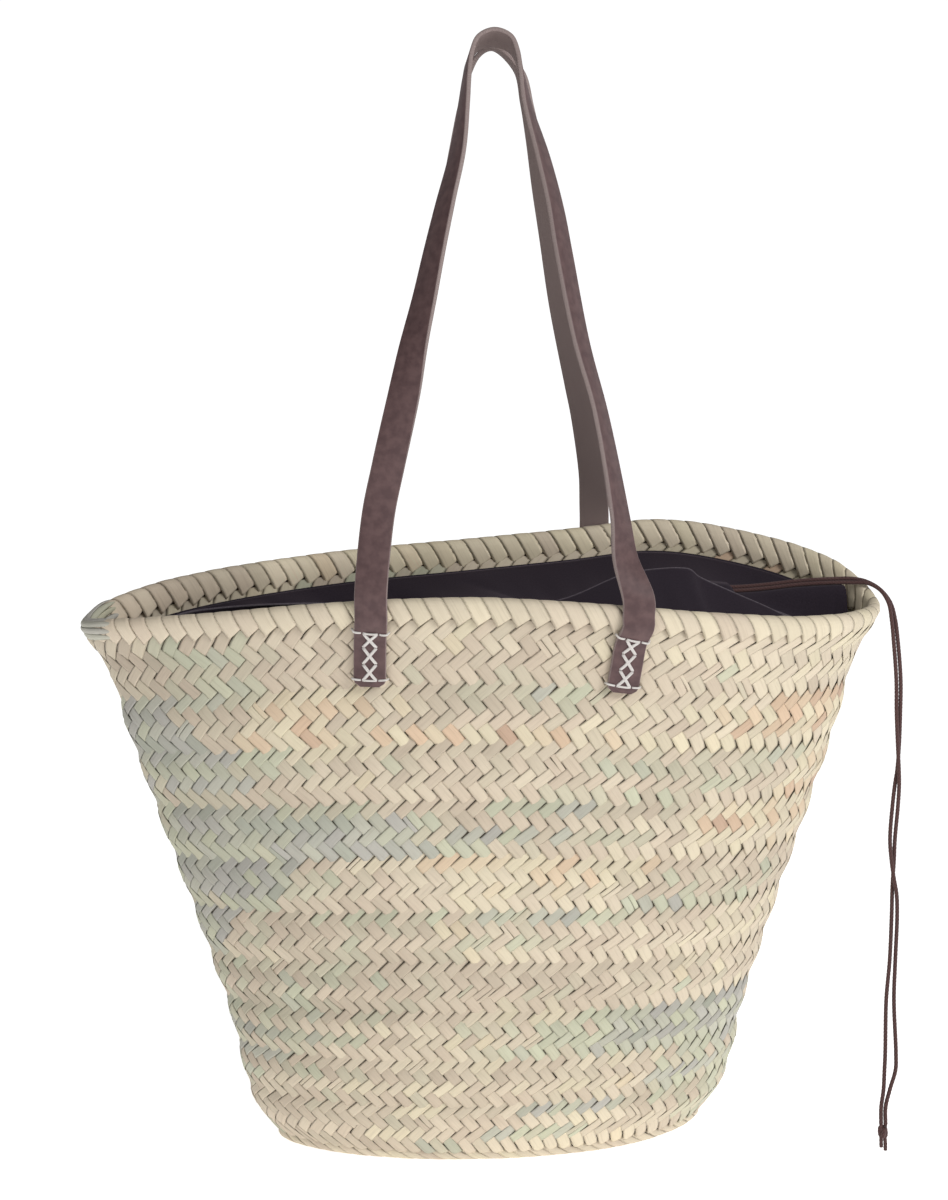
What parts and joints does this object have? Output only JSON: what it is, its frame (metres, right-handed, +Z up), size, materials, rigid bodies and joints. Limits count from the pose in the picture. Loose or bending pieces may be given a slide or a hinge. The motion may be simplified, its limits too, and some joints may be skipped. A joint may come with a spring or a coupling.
{
  "type": "straw basket bag",
  "caption": "Woven palm-leaf tote with a flared oval mouth, rolled rim, dark cotton drawstring lining and long flat leather shoulder straps.",
  "frame": {"origin": "centre of the flat underside of the foot", "axes": "+Z up, -Y the front with the stitched strap ends in view, +X to the right end where the drawcord hangs out"},
  "size_m": [0.5344, 0.2141, 0.7176],
  "materials": {
    "straw": "dry braided palm leaf, matte to satin",
    "cotton": "plain cotton, matte, near black",
    "leather": "brown grain side with low sheen, raw suede back and edges",
    "cord": "braided cotton cord, matte"
  },
  "bodies": {
    "root": {"straw_base": "straw", "straw_wall": "straw", "straw_rim": "straw", "lining_bag": "cotton", "lining_collar": "cotton", "strap_front": "leather", "strap_back": "leather", "drawcord_a": "cord", "drawcord_b": "cord", "cord_knot": "cord"}
  },
  "joints": []
}
